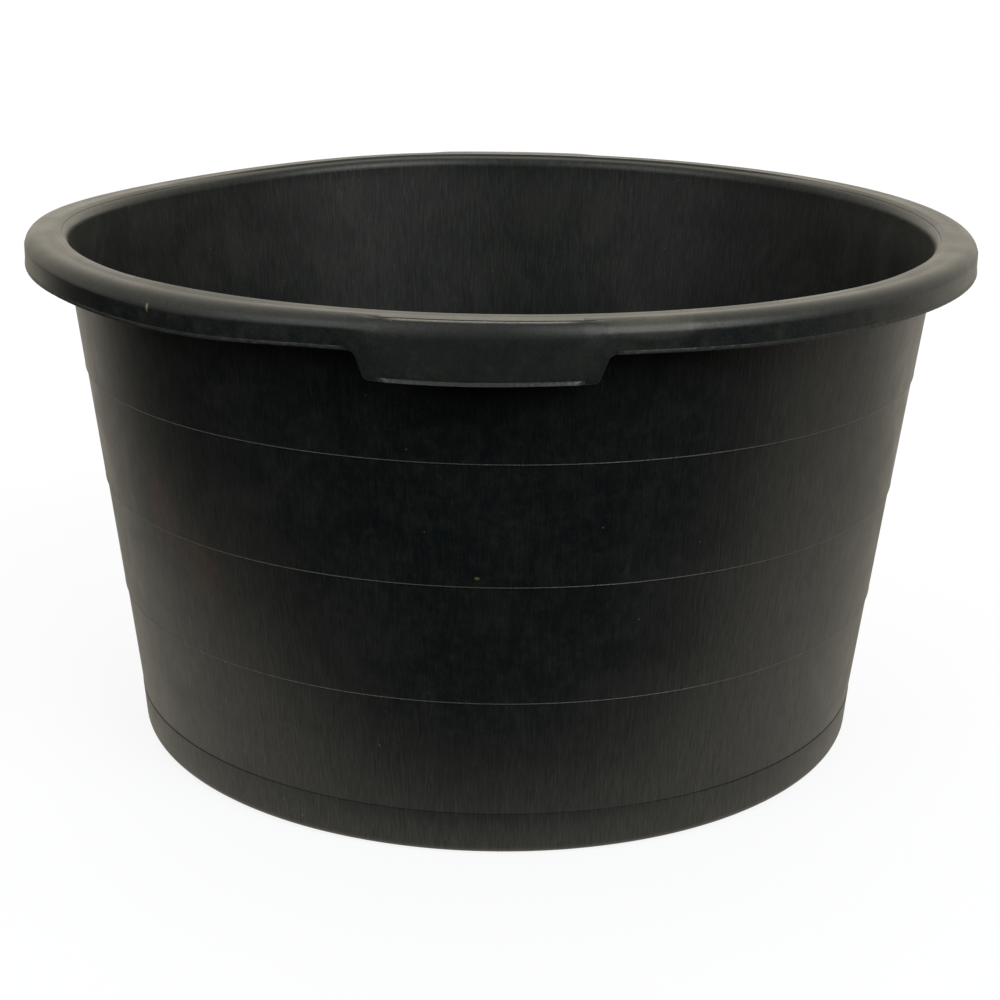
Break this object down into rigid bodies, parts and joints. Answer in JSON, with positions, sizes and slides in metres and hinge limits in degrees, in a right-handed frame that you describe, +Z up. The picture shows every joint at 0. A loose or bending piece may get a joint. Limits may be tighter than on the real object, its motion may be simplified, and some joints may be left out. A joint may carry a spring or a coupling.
{
  "type": "mortar mixing tub",
  "caption": "Round black polyethylene mortar tub with stepped conical wall, wide rolled rim with a hanging skirt, and deeper grip plates on opposite sides.",
  "frame": {"origin": "centre of the base on the ground", "axes": "+Z up, grips on the Y axis, front grip at -Y"},
  "size_m": [0.682, 0.6892, 0.375],
  "materials": {
    "black_polyethylene": "black recycled polyethylene, moulded semi-matt, faint vertical flow streaks and scuffs"
  },
  "bodies": {
    "root": {"floor_panel": "black_polyethylene", "foot_band": "black_polyethylene", "front_grip": "black_polyethylene", "front_grip_lip": "black_polyethylene", "front_grip_web_left": "black_polyethylene", "front_grip_web_right": "black_polyethylene", "gate_stub": "black_polyethylene", "rear_grip": "black_polyethylene", "rear_grip_lip": "black_polyethylene", "rear_grip_web_left": "black_polyethylene", "rear_grip_web_right": "black_polyethylene", "rim_gussets": "black_polyethylene", "rim_land": "black_polyethylene", "rim_lip_left": "black_polyethylene", "rim_lip_right": "black_polyethylene", "rim_skirt_left": "black_polyethylene", "rim_skirt_right": "black_polyethylene", "standing_ring": "black_polyethylene", "wall_band_1": "black_polyethylene", "wall_band_2": "black_polyethylene", "wall_band_3": "black_polyethylene", "wall_band_4": "black_polyethylene"}
  },
  "joints": []
}
